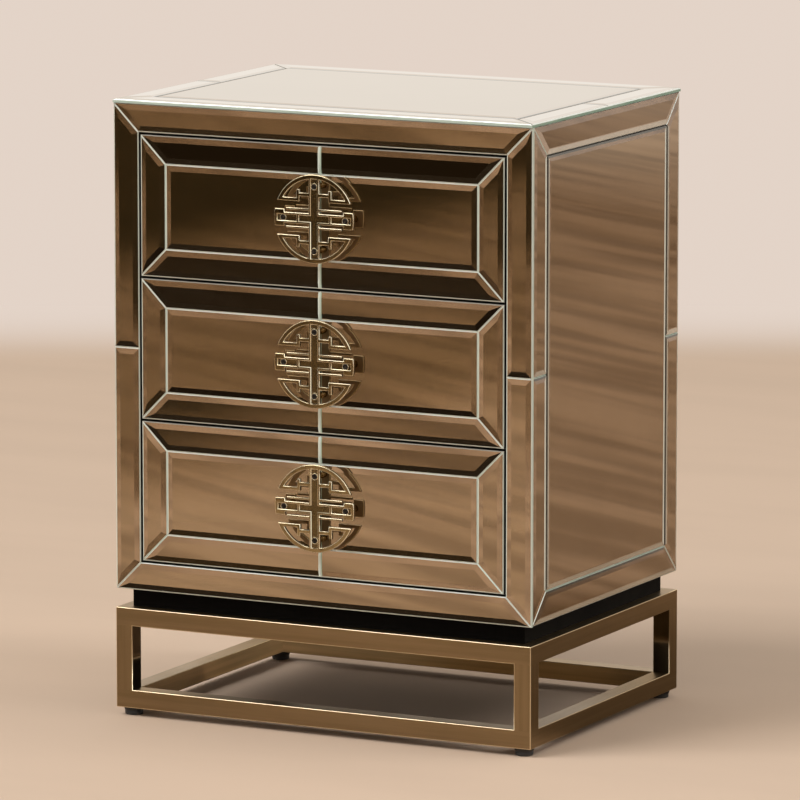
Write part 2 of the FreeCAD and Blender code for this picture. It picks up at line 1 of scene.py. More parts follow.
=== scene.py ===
import bmesh
import bpy
import json
import math
import random
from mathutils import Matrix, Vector

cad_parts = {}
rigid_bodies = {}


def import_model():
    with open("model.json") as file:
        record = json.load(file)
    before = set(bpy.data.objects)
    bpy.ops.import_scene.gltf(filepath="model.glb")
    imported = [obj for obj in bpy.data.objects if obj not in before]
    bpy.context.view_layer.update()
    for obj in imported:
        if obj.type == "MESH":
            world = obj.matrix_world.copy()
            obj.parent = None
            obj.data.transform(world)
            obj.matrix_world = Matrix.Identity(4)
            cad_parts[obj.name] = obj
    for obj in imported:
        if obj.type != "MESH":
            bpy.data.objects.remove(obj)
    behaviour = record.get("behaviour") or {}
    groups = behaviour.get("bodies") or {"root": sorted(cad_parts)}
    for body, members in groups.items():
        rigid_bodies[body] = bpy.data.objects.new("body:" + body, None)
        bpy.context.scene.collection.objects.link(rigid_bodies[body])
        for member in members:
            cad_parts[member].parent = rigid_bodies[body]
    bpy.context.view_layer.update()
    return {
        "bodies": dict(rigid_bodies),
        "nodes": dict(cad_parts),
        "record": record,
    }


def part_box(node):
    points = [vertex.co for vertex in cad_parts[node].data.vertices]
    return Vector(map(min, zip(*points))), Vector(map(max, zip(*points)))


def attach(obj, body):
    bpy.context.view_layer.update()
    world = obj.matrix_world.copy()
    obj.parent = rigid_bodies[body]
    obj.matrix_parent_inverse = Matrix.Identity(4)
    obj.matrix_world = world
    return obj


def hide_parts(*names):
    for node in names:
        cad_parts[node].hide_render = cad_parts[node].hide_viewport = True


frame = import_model()
nodes = frame["nodes"]
bodyOf = {node: body for body, members in frame["record"]["behaviour"]["bodies"].items() for node in members}
drawers = [body for body in frame["bodies"] if body != "cabinet"]


class Wire:  # one output socket of a material; sums written on it become Math nodes
    def __init__(self, tree, socket=None):
        self.tree = tree
        self.socket = socket

    def node(self, kind, settings=None, inputs=None, output=0):
        made = self.tree.nodes.new("ShaderNode" + kind)
        for name, value in (settings or {}).items():
            if name == "stops":
                fillRamp(made.color_ramp, value)
            else:
                setattr(made, name, value)
        for name, value in (inputs or {}).items():
            socket = made.inputs[name]
            if isinstance(value, Wire):
                self.tree.links.new(value.socket, socket)
            elif socket.type == "RGBA":
                socket.default_value = (*value, 1)
            else:
                socket.default_value = value
        return Wire(self.tree, made.outputs[output] if made.outputs else None)

    def math(self, operation, first, second=0.0):
        return self.node("Math", {"operation": operation}, {0: first, 1: second})

    def __add__(self, other):
        return self.math("ADD", self, other)

    def __radd__(self, other):
        return self.math("ADD", other, self)

    def __sub__(self, other):
        return self.math("SUBTRACT", self, other)

    def __rsub__(self, other):
        return self.math("SUBTRACT", other, self)

    def __mul__(self, other):
        return self.math("MULTIPLY", self, other)

    def __rmul__(self, other):
        return self.math("MULTIPLY", other, self)

    def between(self, low, high):  # 0 at low, 1 at high, smooth in between
        return self.node("MapRange", {"interpolation_type": "SMOOTHSTEP"},
                         {"Value": self, "From Min": low, "From Max": high})

    def blend(self, first, second):  # first colour where this is 0, second where it is 1
        return self.node("Mix", {"data_type": "RGBA"}, {0: self, 6: first, 7: second}, 2)

    def vector(self, operation, first, second):
        return self.node("VectorMath", {"operation": operation}, {0: first, 1: second})

    def length(self):
        return self.node("VectorMath", {"operation": "LENGTH"}, {0: self}, 1)

    def reach(self, direction):  # how far a vector goes in a direction
        return self.node("VectorMath", {"operation": "DOT_PRODUCT"}, {0: self, 1: direction}, 1)

    def part(self, axis):  # X, Y or Z of a vector
        return self.node("SeparateXYZ", {}, {"Vector": self}, axis)

    def place(self):  # where a point lies on its piece
        return self.node("TexCoord", output="Object")

    def stretched(self, scale):  # the same, scaled apart on each axis
        return self.node("Mapping", {}, {"Vector": self.place(), "Scale": scale})

    def given(self, name, output="Fac"):  # what a mesh holds under this name
        return self.node("Attribute", {"attribute_name": name}, output=output)

    def noise(self, where, scale, detail=2.0, rough=0.5, distortion=0.0):
        return self.node("TexNoise", {}, {"Vector": where, "Scale": scale, "Detail": detail,
                                          "Roughness": rough, "Distortion": distortion})

    def bump(self, height, strength, distance, **more):
        return self.node("Bump", {}, {"Height": height, "Strength": strength, "Distance": distance, **more})


def fillRamp(ramp, stops):
    while len(ramp.elements) < len(stops):
        ramp.elements.new(0.5)
    for element, (place, colour) in zip(ramp.elements, stops):
        element.position = place
        element.color = (*colour, 1)


def newMaterial(name):
    material = bpy.data.materials.new(name)
    material.use_nodes = True
    material.node_tree.nodes.clear()
    return material, Wire(material.node_tree)


def principled(material, pen, inputs):
    shader = pen.node("BsdfPrincipled", {}, inputs)
    pen.node("OutputMaterial", {}, {"Surface": shader})
    return material


glassIor = 1.52
mirrorLook = {
    "tint": (0.39, 0.298, 0.195),        # bronze silvering
    "deepTint": (0.37, 0.281, 0.181),    # where the tint is a little stronger
    "bevelTint": (0.435, 0.337, 0.247),  # thinner glass, so a paler tint
    "bevelFrom": (0.08, 0.14),           # how far a face leans before it counts as bevel
    "prism": 0.5,                        # how far a bevel bends the reflection the other way
    "roughness": 0.012,
    "smudge": 0.035,                     # roughness that wiping leaves behind
    "wave": 0.00012,                     # metres of float-glass unevenness
    "seam": 0.0021,                      # metres of unsilvered glass seen each side of a plain joint
    # clear: pale on the left of a plain joint, a painted highlight; green: the glass itself, on its right
    "clear": (0.8, 0.88, 0.8), "green": (0.36, 0.47, 0.37), "jointRough": 0.12,
    # rim: pale band on some bevels, a painted highlight in place of the glint of the glass
    "rim": (0.8, 0.87, 0.79), "rimRough": 0.15,
    "backing": (0.022, 0.03, 0.024),     # paint behind the glass
    "step": 0.0001,                      # metres over which rim and backing begin
    "sideCoat": 0.9, "lessCoat": 0.42,   # gloss on the bevels: more at the sides, less elsewhere
}


def bronzeMirror():
    look = mirrorLook
    material, pen = newMaterial("bronze_mirror")
    where = pen.place()
    facing = pen.given("facing", "Vector")
    normal = pen.node("NewGeometry", output="Normal")
    lean = pen.vector("SUBTRACT", facing, normal)   # a bevel is a prism: it shows what lies the other way
    bevel = lean.length().between(*look["bevelFrom"])
    lean = pen.vector("MULTIPLY", lean, (look["prism"],) * 3)
    bent = pen.vector("NORMALIZE", pen.vector("ADD", facing, lean), (0, 0, 0))
    wave = pen.noise(where, 7, 1)
    cloud = pen.noise(where, 9, 3).between(0.35, 0.75)
    wiped = pen.noise(pen.stretched((4, 4, 22)), 3, 5, 0.6).between(0.5, 0.85)
    seam = pen.given("seam")
    silver = pen.math("ABSOLUTE", seam).between(look["seam"] * 0.9, look["seam"] * 1.1)
    glass = seam.between(-look["seam"] * 0.4, look["seam"] * 0.6).blend(look["clear"], look["green"])
    tint = (bevel * 0.8).blend(cloud.blend(look["tint"], look["deepTint"]), look["bevelTint"])
    depth = pen.given("depth")
    rims = pen.given("rims", "Vector")
    highlightFrom, darkFrom, share = (rims.part(axis) for axis in "XYZ")
    # pale band on the bevel: painted highlight, not metal
    rim = (depth - highlightFrom).between(0.0, look["step"]) * share
    backing = (depth - darkFrom).between(0.0, look["step"])
    silverWithHighlight = rim.blend(silver.blend(glass, tint), look["rim"])
    worn = look["roughness"] + wiped * look["smudge"]
    sideways = pen.math("ABSOLUTE", facing.part("X"))
    return principled(material, pen, {
        "Base Color": backing.blend(silverWithHighlight, look["backing"]),
        "Metallic": silver * (1 - rim) * (1 - backing),
        "Roughness": worn + (1 - silver) * look["jointRough"] + rim * look["rimRough"],
        "Normal": pen.bump(wave, 0.35, look["wave"], Normal=bent),
        "Coat Weight": pen.given("sheen") + bevel * (sideways * look["sideCoat"] - look["lessCoat"]),
        "Coat Roughness": 0.01, "Coat IOR": glassIor,
    })


edgeLook = {
    # pale: partly a painted highlight on the polished glass edge, standing in for its glint; the green is the
    # glass's own
    "pale": (0.84, 0.9, 0.84), "green": (0.1, 0.255, 0.175), "dust_and_painted_shade": (0.24, 0.215, 0.18),
    "depth": (0.0004, 0.0034),           # metres below the face over which the green deepens
    "roughness": 0.16, "edgeShadeRough": 0.4, "coat": 0.6,
}


def polishedEdge():
    look = edgeLook
    material, pen = newMaterial("polished_glass_edge")
    where = pen.place()
    dusty = pen.given("dusty")
    drift = pen.noise(where, 24, 3).between(0.38, 0.68)
    grind = pen.noise(where, 900, 2)
    depth = pen.given("depth").between(*look["depth"])
    glass = (pen.given("side") * (0.5 + drift * 0.1 + depth * 0.4)).blend(look["pale"], look["green"])
    return principled(material, pen, {
        # darker where marked: painted shade, for the darker things that these edges reflect
        "Base Color": (dusty * (0.93 + drift * 0.07)).blend(glass, look["dust_and_painted_shade"]),
        "Roughness": look["roughness"] + grind * 0.12 + dusty * look["edgeShadeRough"],
        "Normal": pen.bump(grind, 0.1, 0.0001), "IOR": glassIor,
        "Coat Weight": look["coat"] - dusty * look["coat"], "Coat Roughness": 0.04,
    })


boardLook = {"black": (0.006, 0.0053, 0.005), "worn": (0.018, 0.0155, 0.0135), "roughness": 0.5}


def blackBoard(name, shade, wear, specular):
    look = boardLook
    material, pen = newMaterial(name)
    black = tuple(part * shade for part in look["black"])
    worn = tuple(part * wear for part in look["worn"])
    where = pen.place()
    cloud = pen.noise(where, 14, 4).between(0.4, 0.8)
    peel = pen.noise(where, 650, 2)                  # fine texture of sprayed paint
    scuff = pen.noise(pen.stretched((30, 30, 160)), 2, 6, 0.7).between(0.62, 0.8)
    rolled = pen.noise(pen.stretched((150, 150, 5)), 2, 3, 0.6).between(0.35, 0.7)   # up and down strokes
    return principled(material, pen, {
        "Base Color": (cloud * 0.3 + scuff * 0.5 + rolled * 0.2).blend(black, worn),
        "Roughness": look["roughness"] + cloud * 0.14 - scuff * 0.1, "Specular IOR Level": specular,
        "Normal": pen.bump(peel, 0.16, 0.0002),
    })


woodLook = {
    "early": (0.66, 0.5, 0.335), "middle": (0.58, 0.425, 0.275), "late": (0.45, 0.31, 0.185),
    "pore": (0.3, 0.19, 0.1), "roughness": 0.38,
    "alongX": (2.2, 34, 34), "alongY": (34, 2.2, 34), "veneer": (1.6, 22, 30),   # low along the grain
    "veneerShade": 0.86,
    "finer": 9,                          # how much finer the pores are than the figure
}


def lacqueredWood(name, scale, shade=1.0):
    look = woodLook
    material, pen = newMaterial(name)
    figure = pen.noise(pen.stretched(scale), 3.2, 6, 0.58, 0.9)
    fine = tuple(value * look["finer"] for value in scale)
    pores = pen.noise(pen.stretched(fine), 4, 3, 0.7).between(0.56, 0.74)
    tones = [(place, tuple(part * shade for part in look[key]))
             for place, key in ((0.3, "early"), (0.52, "middle"), (0.72, "late"))]
    colour = pen.node("ValToRGB", {"stops": tones}, {"Fac": figure})
    return principled(material, pen, {
        "Base Color": (pores * 0.55).blend(colour, look["pore"]),
        "Roughness": look["roughness"] + pores * 0.2,
        "Normal": pen.bump(1 - pores, 0.2, 0.0002),
        "Coat Weight": 0.25, "Coat Roughness": 0.2,
    })


brassLook = {
    "bright": (0.33, 0.248, 0.122), "brown": (0.235, 0.172, 0.08), "lowAngle": (1.0, 0.9, 0.7),
    "tarnish": (0.09, 0.063, 0.026), "recess": (0.0003, 0.0008),   # metres below the face where it stays
    "rubbed": (1.0, 0.96, 0.8),                                    # polished edges, partly worn and partly painted highlight
    "paintedBackLight": (0.88, 0.82, 0.74), "castDepth": (0.0028, 0.0036),     # rough unpolished back, painted pale: painted light, brightening its reflection in the mirror
    "roughness": 0.09, "stainRough": 0.2, "rubbedRough": 0.12, "castRough": 0.45,
}


def antiqueBrass():
    look = brassLook
    material, pen = newMaterial("antique_brass")
    where = pen.place()
    depth = pen.given("depth")
    rubbed = pen.given("rubbed")
    cloud = pen.noise(where, 60, 5, 0.6).between(0.35, 0.7)
    grime = pen.noise(where, 240, 4, 0.65)
    normal = pen.node("NewGeometry", output="Normal")
    upright = pen.math("ABSOLUTE", normal.part("X")).between(0.1, 0.6)
    # edges facing sideways are brighter than level ones: painted highlight
    edge = rubbed * (0.3 + upright * 0.7) * (0.85 + grime * 0.3)
    paintedBackLight = depth.between(*look["castDepth"])
    stain = depth.between(*look["recess"]) * (1 - paintedBackLight) * (0.35 + grime * 0.5) * (1 - rubbed)
    worn = paintedBackLight.blend(cloud.blend(look["bright"], look["brown"]), look["paintedBackLight"])
    rough = look["roughness"] + cloud * 0.06 + stain * look["stainRough"]
    return principled(material, pen, {
        "Base Color": edge.blend(stain.blend(worn, look["tarnish"]), look["rubbed"]), "Metallic": 1.0,
        "Roughness": rough + rubbed * look["rubbedRough"] + paintedBackLight * look["castRough"],
        "Normal": pen.bump(grime, 0.08, 0.0002), "Specular Tint": look["lowAngle"],
    })


goldLook = {
    # rubbed: pale edges of the frame, a painted highlight
    "light": (0.29, 0.204, 0.112), "deep": (0.232, 0.161, 0.084), "rubbed": (0.8, 0.65, 0.43),
    "inside": (0.72, 0.52, 0.28),        # inner faces of the low ring: painted light, as they lie in shade under the cabinet
    "lowAngle": (1.0, 0.92, 0.83), "roughness": 0.26,
    "brush": 0.975,                      # how far noise is squeezed along the tube, into brush lines
}


def brushedGold():
    look = goldLook
    material, pen = newMaterial("brushed_gold")
    where = pen.place()
    along = pen.given("along", "Vector")
    squeeze = where.reach(along) * look["brush"]
    run = pen.node("VectorMath", {"operation": "SCALE"}, {0: along, "Scale": squeeze})
    drawn = pen.vector("SUBTRACT", where, run)
    streak = pen.noise(drawn, 1500, 3, 0.6)
    broad = pen.noise(drawn, 160, 3, 0.6).between(0.3, 0.7)
    handled = pen.noise(where, 16, 4).between(0.45, 0.8)
    worn = (broad * 0.7 + streak * 0.3).blend(look["light"], look["deep"])
    satinWithInnerLight = (pen.given("inside") * (1 - broad * 0.3)).blend(worn, look["inside"])
    # rubbed edges: painted highlight, weaker on rails running along y
    edge = pen.given("rubbed") * (0.8 - along.part("Y") * 0.5)
    return principled(material, pen, {
        "Base Color": edge.blend(satinWithInnerLight, look["rubbed"]), "Metallic": 1.0,
        "Roughness": look["roughness"] + streak * 0.14 + handled * 0.06,
        "Normal": pen.bump(streak, 0.07, 0.0001), "Specular Tint": look["lowAngle"],
    })


zincLook = {"light": (0.66, 0.67, 0.68), "dark": (0.47, 0.48, 0.5), "roughness": 0.3}


def zincSteel():
    look = zincLook
    material, pen = newMaterial("zinc_steel")
    flake = pen.node("TexVoronoi", {}, {"Vector": pen.place(), "Scale": 260}, "Color")
    tone = pen.node("SeparateColor", {}, {"Color": flake})
    drawn = pen.noise(pen.stretched((1, 0.04, 1)), 900, 2)
    return principled(material, pen, {
        "Base Color": (tone * 0.5 + drawn * 0.4).blend(look["light"], look["dark"]), "Metallic": 1.0,
        "Roughness": look["roughness"] + tone * 0.12,
        "Normal": pen.bump(drawn, 0.06, 0.0001),
    })


screwLook = {
    "dark": (0.018, 0.015, 0.013), "rubbed": (0.1, 0.083, 0.066), "bright": (0.42, 0.38, 0.33),
    "roughness": 0.3,
}


def blackenedSteel():
    look = screwLook
    material, pen = newMaterial("blackened_steel")
    rub = pen.noise(pen.place(), 420, 4, 0.6).between(0.45, 0.75)
    driven = pen.given("rubbed") * (0.5 + rub * 0.5)
    return principled(material, pen, {
        "Base Color": driven.blend(rub.blend(look["dark"], look["rubbed"]), look["bright"]), "Metallic": 0.9,
        "Roughness": look["roughness"] + rub * 0.15,
        "Normal": pen.bump(rub, 0.08, 0.0001),
    })


plasticLook = {
    "black": (0.013, 0.013, 0.014), "roughness": 0.5,
    "dust_and_painted_shade": (0.075, 0.068, 0.06), "dustTo": 0.004,   # metres above the floor
}


def glidePlastic():
    look = plasticLook
    material, pen = newMaterial("glide_plastic")
    where = pen.place()
    mould = pen.noise(where, 1100, 2)
    low = 1 - where.part("Z").between(0.0, look["dustTo"])
    dust_and_painted_shade = low * pen.noise(where, 300, 4).between(0.3, 0.7)
    return principled(material, pen, {
        "Base Color": dust_and_painted_shade.blend(look["black"], look["dust_and_painted_shade"]), "Roughness": look["roughness"] + dust_and_painted_shade * 0.3,
        "Normal": pen.bump(mould, 0.2, 0.0001),
    })


finishes = {
    "mirror": bronzeMirror(), "edge": polishedEdge(), "brass": antiqueBrass(),
    "board": blackBoard("black_board", shade=1.0, wear=1.0, specular=0.2),
    # the plinth is made darker than the other black boards: painted shade, as it sits back under the cabinet
    "plinth": blackBoard("black_plinth", shade=0.35, wear=0.35, specular=0.04),
    "backing": blackBoard("black_back", shade=2.6, wear=4.6, specular=0.4),
    "gold": brushedGold(), "zinc": zincSteel(), "screw": blackenedSteel(), "plastic": glidePlastic(),
    "woodAlongX": lacqueredWood("lacquered_wood_x", woodLook["alongX"]),
    "woodAlongY": lacqueredWood("lacquered_wood_y", woodLook["alongY"]),
    "veneer": lacqueredWood("drawer_base_veneer", woodLook["veneer"], woodLook["veneerShade"]),
}
print("finishes:", len(finishes))


def addPiece(name, mesh, like, materials, replaced=(), smooth=True):  # like is the node it goes with
    piece = bpy.data.objects.new(name, mesh)
    bpy.context.scene.collection.objects.link(piece)
    mesh.materials.clear()
    for material in materials:
        mesh.materials.append(material)
    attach(piece, bodyOf[like])
    if replaced:
        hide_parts(*replaced)
    if smooth:
        mesh.shade_smooth()
        piece.modifiers.new("even_shading", "WEIGHTED_NORMAL")
    return piece


def toMesh(work, name):
    mesh = bpy.data.meshes.new(name)
    work.to_mesh(mesh)
    work.free()
    if "custom_normal" in mesh.attributes:
        mesh.attributes.remove(mesh.attributes["custom_normal"])
    return mesh


def addWork(name, work, like, finish, replaced=()):
    return addPiece(name, toMesh(work, name), like, [finishes[finish]], replaced)


meshWork = {"weld": 1e-6, "flat": 0.5, "sharp": 25}   # metres between split corners; degrees


def joinedUp(node):  # the CAD mesh with its split corners joined
    work = bmesh.new()
    work.from_mesh(nodes[node].data)
    bmesh.ops.remove_doubles(work, verts=work.verts, dist=meshWork["weld"])
    return work


def wholeFaces(node):  # the same with its flat faces whole
    work = joinedUp(node)
    limit = math.radians(meshWork["flat"])
    bmesh.ops.dissolve_limit(work, angle_limit=limit, verts=work.verts, edges=work.edges)
    return work


def softenEdges(work, shape):  # rounds the outward edges and marks the new faces, where metals show rubbing and a painted highlight
    work.normal_update()
    rubbed = work.faces.layers.float.new("rubbed")
    limit = math.radians(meshWork["sharp"])
    sharp = [edge for edge in work.edges
             if edge.is_manifold and edge.is_convex and edge.calc_face_angle() > limit]
    made = bmesh.ops.bevel(work, geom=sharp, offset=shape["edge"], offset_type="OFFSET",
                           segments=shape["segments"], profile=0.5, affect="EDGES", clamp_overlap=True)
    for face in made["faces"]:
        face[rubbed] = 1.0


def dress(node, suffix, finish, shape):  # a node again, with its edges rounded as made
    work = wholeFaces(node)
    softenEdges(work, shape)
    return addWork(f"{node}_{suffix}", work, node, finish, [node])


def giveValues(mesh, name, kind, domain, values):
    layer = mesh.attributes.new(name, kind, domain)
    layer.data.foreach_set("vector" if kind == "FLOAT_VECTOR" else "value", values)


# In-plane axes and outward direction of the mirrors on each side of the cabinet
sides = {
    "front": (0, 2, Vector((0, -1, 0))),
    "left": (1, 2, Vector((-1, 0, 0))),
    "right": (1, 2, Vector((1, 0, 0))),
    "top": (0, 1, Vector((0, 0, 1))),
}
tilesOf = {
    "front_rail_mirrors": "front", "front_stile_mirrors": "front",
    "left_side_border_mirrors": "left", "left_side_centre_mirror": "left",
    "right_side_border_mirrors": "right", "right_side_centre_mirror": "right",
    "top_border_mirrors": "top", "top_centre_mirror": "top",
}
for drawer in drawers:
    tilesOf[f"{drawer}_border_mirrors"] = "front"
    tilesOf[f"{drawer}_centre_mirrors"] = "front"
tileLayers = ["mirror", "edge", "board"]
tileSet = {
    "faceAbove": 0.95,     # a face this close to the tile's direction is mirror
    "sideBelow": 0.3,      # a face this far from it is the ground side of the glass
    "rim": 0.0015,         # metres from the outline within which that side shows; others lie in dark gaps
    # How green the ground sides look, along x and along y
    "edgeGreen": {"top": (1.0, 0.5), "left": (0.5, 0.5), "right": (0.5, 0.5), "front": (0.5, 0.5)},
    "uprightGreen": 0.3, "levelShade": 0.3, "level": 0.3,   # narrow edges: greener when upright, painted shade on level ones, and how far one may be off level
    "bevelLean": 0.08, "straight": 0.95,                   # least lean of a bevel, and how true to an axis
    "jitter": 0.12,        # degrees by which the tiles lie out of true
    "seed": 7,
    "lean": {              # degrees up (+) or down (-) by which the adhesive set some tiles
        "front_rail_mirrors": {"high": -3.0, "low": 1.3},
        "upper_drawer_border_mirrors": {
            "high_left": 1.4, "high_right": 1.4, "low_left": 1.7, "low_right": 1.7,
        },
        "middle_drawer_border_mirrors": {
            "high_left": 2.0, "high_right": 0.2, "low_left": 1.6, "low_right": 1.3,
        },
        "lower_drawer_border_mirrors": {"high_left": 1.8, "high_right": 1.4, "low_right": -1.0},
        "right_side_border_mirrors": {"high": -1.0},
        "left_side_border_mirrors": {"high": 0.5},
    },
    "sheen": {"top_border_mirrors": 1.0}, "plainSheen": 0.5,
}


def tileOf(node, place, low, high, across, up):  # names the tile of a set that a face belongs to
    room = {
        "left": place[across] - low[across], "right": high[across] - place[across],
        "low": place[up] - low[up], "high": high[up] - place[up],
    }
    strip = "centre" if "centre" in node else min(room, key=room.get)
    onDrawer = bodyOf[node] in drawers
    if onDrawer and strip in ("low", "high", "centre"):
        return strip + ("_right" if room["left"] > room["right"] else "_left")
    if not onDrawer and strip in ("left", "right"):
        return strip + ("_upper" if room["low"] > room["high"] else "_lower")
    return strip


# Metres below a tile's face where a pale band starts on a bevel (painted highlight), and where dark backing
# starts, and how strong the painted highlight gets
rims = {
    "plain": (1, 1, 0),
    "frontLeft": (0.00085, 1, 0.9), "frontDown": (0.00092, 1, 0.8),
    "toRear": (0.0001, 1, 0.95), "atRear": (0.0005, 1, 0.7), "toFront": (0.00035, 0.0006, 0.6),
    "down": (0.0001, 1, 0.35), "up": (1, 0.0006, 0), "topJoint": (1, 0.0007, 0),
}


# picks where a bevel gets its painted highlight and where its dark backing shows
def bevelRim(node, side, face, middle):  # by the side that it is on and the way that it leans
    across, up, out = sides[side]
    lean = face.normal - out * face.normal.dot(out)
    axis = across if abs(lean[across]) > abs(lean[up]) else up
    if lean.length < tileSet["bevelLean"] or abs(lean[axis]) < tileSet["straight"] * lean.length:
        return "plain"
    inner = "centre" in node or lean[axis] * (middle[axis] - face.center[axis]) > 0
    if side == "top":
        return "topJoint" if inner else "plain"
    if side == "front":
        if axis == across:
            return "frontLeft" if lean.x < 0 else "plain"
        return "frontDown" if lean.z < 0 and ("rail" in node or not inner) else "plain"
    if axis == across:
        if lean.y > 0:
            return "toRear" if inner else "atRear"
        return "toFront" if inner else "plain"
    if lean.z < 0:
        return "down"
    return "up" if inner else "plain"


def edgeTone(node, side, face, middle, outside):  # how green a narrow edge looks, and how much painted shade it gets
    across, up, out = sides[side]
    if side == "top":
        # inner edges on the top take full painted shade
        return 0.0, float(not outside)
    lean = face.normal - out * face.normal.dot(out)
    if abs(lean[across]) > abs(lean[up]):
        return tileSet["uprightGreen"], 0.0
    level = abs(lean[across]) < tileSet["level"] * lean.length
    # level edges over the gaps between drawers take full painted shade
    overGap = bodyOf[node] in drawers and "border" in node and lean.z > 0 and face.center.z > middle.z
    return 0.0, 1.0 if level and overGap else tileSet["levelShade"]


def mirrorTiles(node, side):
    across, up, out = sides[side]
    low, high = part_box(node)
    middle = (low + high) / 2
    onDrawer = bodyOf[node] in drawers
    draw = random.Random(f"{tileSet['seed']}{node}")
    mesh = nodes[node].data.copy()
    mesh.name = f"{node}_glass"
    leans = {}
    facings, layers, greens, edgeShades, edges = [], [], [], [], []
    for face in mesh.polygons:
        tile = tileOf(node, face.center, low, high, across, up)
        if tile not in leans:
            tilt = Vector((0, 0, 0))
            tilt[across] = draw.uniform(-1, 1) * tileSet["jitter"]
            tilt[up] = draw.uniform(-1, 1) * tileSet["jitter"] + tileSet["lean"].get(node, {}).get(tile, 0)
            leans[tile] = tilt * math.radians(1)
        place = face.center
        inset = min(min(place[axis] - low[axis], high[axis] - place[axis]) for axis in (across, up))
        outside = inset < tileSet["rim"] and not onDrawer and "centre" not in node
        look = bevelRim(node, side, face, middle)
        green, dust_and_painted_shade = edgeTone(node, side, face, middle, outside)
        turn = face.normal.dot(out)
        if turn > tileSet["faceAbove"]:
            layer = "mirror"
        elif turn < tileSet["sideBelow"]:
            layer = "edge" if outside else "board"
            alongX, alongY = tileSet["edgeGreen"][side]
            green = alongX if abs(face.normal.x) > abs(face.normal.y) else alongY
        else:
            layer = "board" if look == "toFront" or look == "up" and "centre" in node else "edge"
            green = 1.0 if look == "up" else green
        facings.extend((out + leans[tile]).normalized())
        layers.append(tileLayers.index(layer))
        greens.append(green)
        edgeShades.append(dust_and_painted_shade)
        edges.extend(rims[look])
    plane = max(vertex.co.dot(out) for vertex in mesh.vertices)
    sheen = tileSet["sheen"].get(node, tileSet["plainSheen"])
    seams = [vertex.co.x if onDrawer else 1.0 for vertex in mesh.vertices]   # down the middle of each drawer
    giveValues(mesh, "facing", "FLOAT_VECTOR", "FACE", facings)
    giveValues(mesh, "side", "FLOAT", "FACE", greens)
    giveValues(mesh, "dusty", "FLOAT", "FACE", edgeShades)
    giveValues(mesh, "rims", "FLOAT_VECTOR", "FACE", edges)
    giveValues(mesh, "sheen", "FLOAT", "FACE", [sheen] * len(layers))
    giveValues(mesh, "seam", "FLOAT", "POINT", seams)
    giveValues(mesh, "depth", "FLOAT", "POINT", [plane - vertex.co.dot(out) for vertex in mesh.vertices])
    materials = [finishes[layer] for layer in tileLayers]
    piece = addPiece(f"{node}_glass", mesh, node, materials, [node], smooth=False)
    mesh.polygons.foreach_set("material_index", layers)
    return piece


for node, side in tilesOf.items():
    mirrorTiles(node, side)
print("mirror tiles:", len(tilesOf), "groups")


boards = {"edge": 0.0006, "segments": 2}
boardNodes = ["left_side_panel", "right_side_panel", "top_panel", "bottom_panel", "back_panel", "left_stile",
              "right_stile", "top_rail", "bottom_rail", "plinth"]
boardNodes += [f"{drawer}_front_panel" for drawer in drawers]
boardFinish = {"plinth": "plinth", "back_panel": "backing"}
for node in boardNodes:
    dress(node, "board", boardFinish.get(node, "board"), boards)

boxes = {"edge": 0.0012, "segments": 3}
boxFinish = {"left_side": "woodAlongY", "right_side": "woodAlongY", "back": "woodAlongX"}
for drawer in drawers:
    for piece, finish in boxFinish.items():
        dress(f"{drawer}_{piece}", "board", finish, boxes)
    dress(f"{drawer}_bottom", "board", "veneer", boards)
dress("slide_packers", "board", "woodAlongY", boards)
print("boards:", len(boardNodes) + (len(boxFinish) + 1) * len(drawers) + 1)


rails = {"edge": 0.0003, "segments": 2}
slideNodes = ["slide_channels"] + [f"{drawer}_slide_members" for drawer in drawers]
for node in slideNodes:
    dress(node, "rolled", "zinc", rails)
print("slides:", len(slideNodes))


pulls = {
    # Width of each turn of the rounded edge, and how far it lies back
    "steps": ((0.00035, 0.0007), (0.0005, 0.00025)),
    "square": 0.99, "level": 0.0001,     # how square and how near to front or back a flat face is
}
spacers = {"edge": 0.0004, "segments": 2}


def pullCasting(drawer):  # the fretwork plate with its front and back edges rounded over and marked for rubbing and a painted highlight
    node = f"{drawer}_pull"
    front, rear = (corner.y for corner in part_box(node))
    work = wholeFaces(node)
    work.normal_update()
    rubbed = work.faces.layers.float.new("rubbed")
    for level, out in ((front, -1), (rear, 1)):
        flat = [plate for plate in work.faces
                if plate.normal.y * out > pulls["square"]
                and abs(plate.calc_center_median().y - level) < pulls["level"]]
        for width, back in pulls["steps"]:
            made = bmesh.ops.inset_region(work, faces=flat, thickness=width,
                                          use_even_offset=True, use_boundary=True)
            inner = {vertex for plate in flat for vertex in plate.verts}
            for turned in made["faces"]:
                turned[rubbed] = 1.0
            for vertex in {vertex for turned in made["faces"] for vertex in turned.verts} - inner:
                vertex.co.y = level - out * back
    piece = addWork(f"{node}_casting", work, node, "brass", [node])
    giveValues(piece.data, "depth", "FLOAT", "POINT", [vertex.co.y - front for vertex in piece.data.vertices])


for drawer in drawers:
    pullCasting(drawer)
    dress(f"{drawer}_pull_spacers", "turned", "brass", spacers)
print("pulls:", len(drawers))


def islands(node):  # lowest and highest corner of each separate solid in a node, in the mesh's own order
    work = joinedUp(node)
    seen = set()
    found = []
    for first in work.verts:
        if first in seen:
            continue
        seen.add(first)
        batch = [first]
        group = []
        while batch:
            vertex = batch.pop()
            group.append(vertex.co.copy())
            for edge in vertex.link_edges:
                other = edge.other_vert(vertex)
                if other not in seen:
                    seen.add(other)
                    batch.append(other)
        found.append([Vector([pick(co[axis] for co in group) for axis in range(3)]) for pick in (min, max)])
    work.free()
    return found


def evenTurns(count):
    return [2 * math.pi * index / count for index in range(count)]


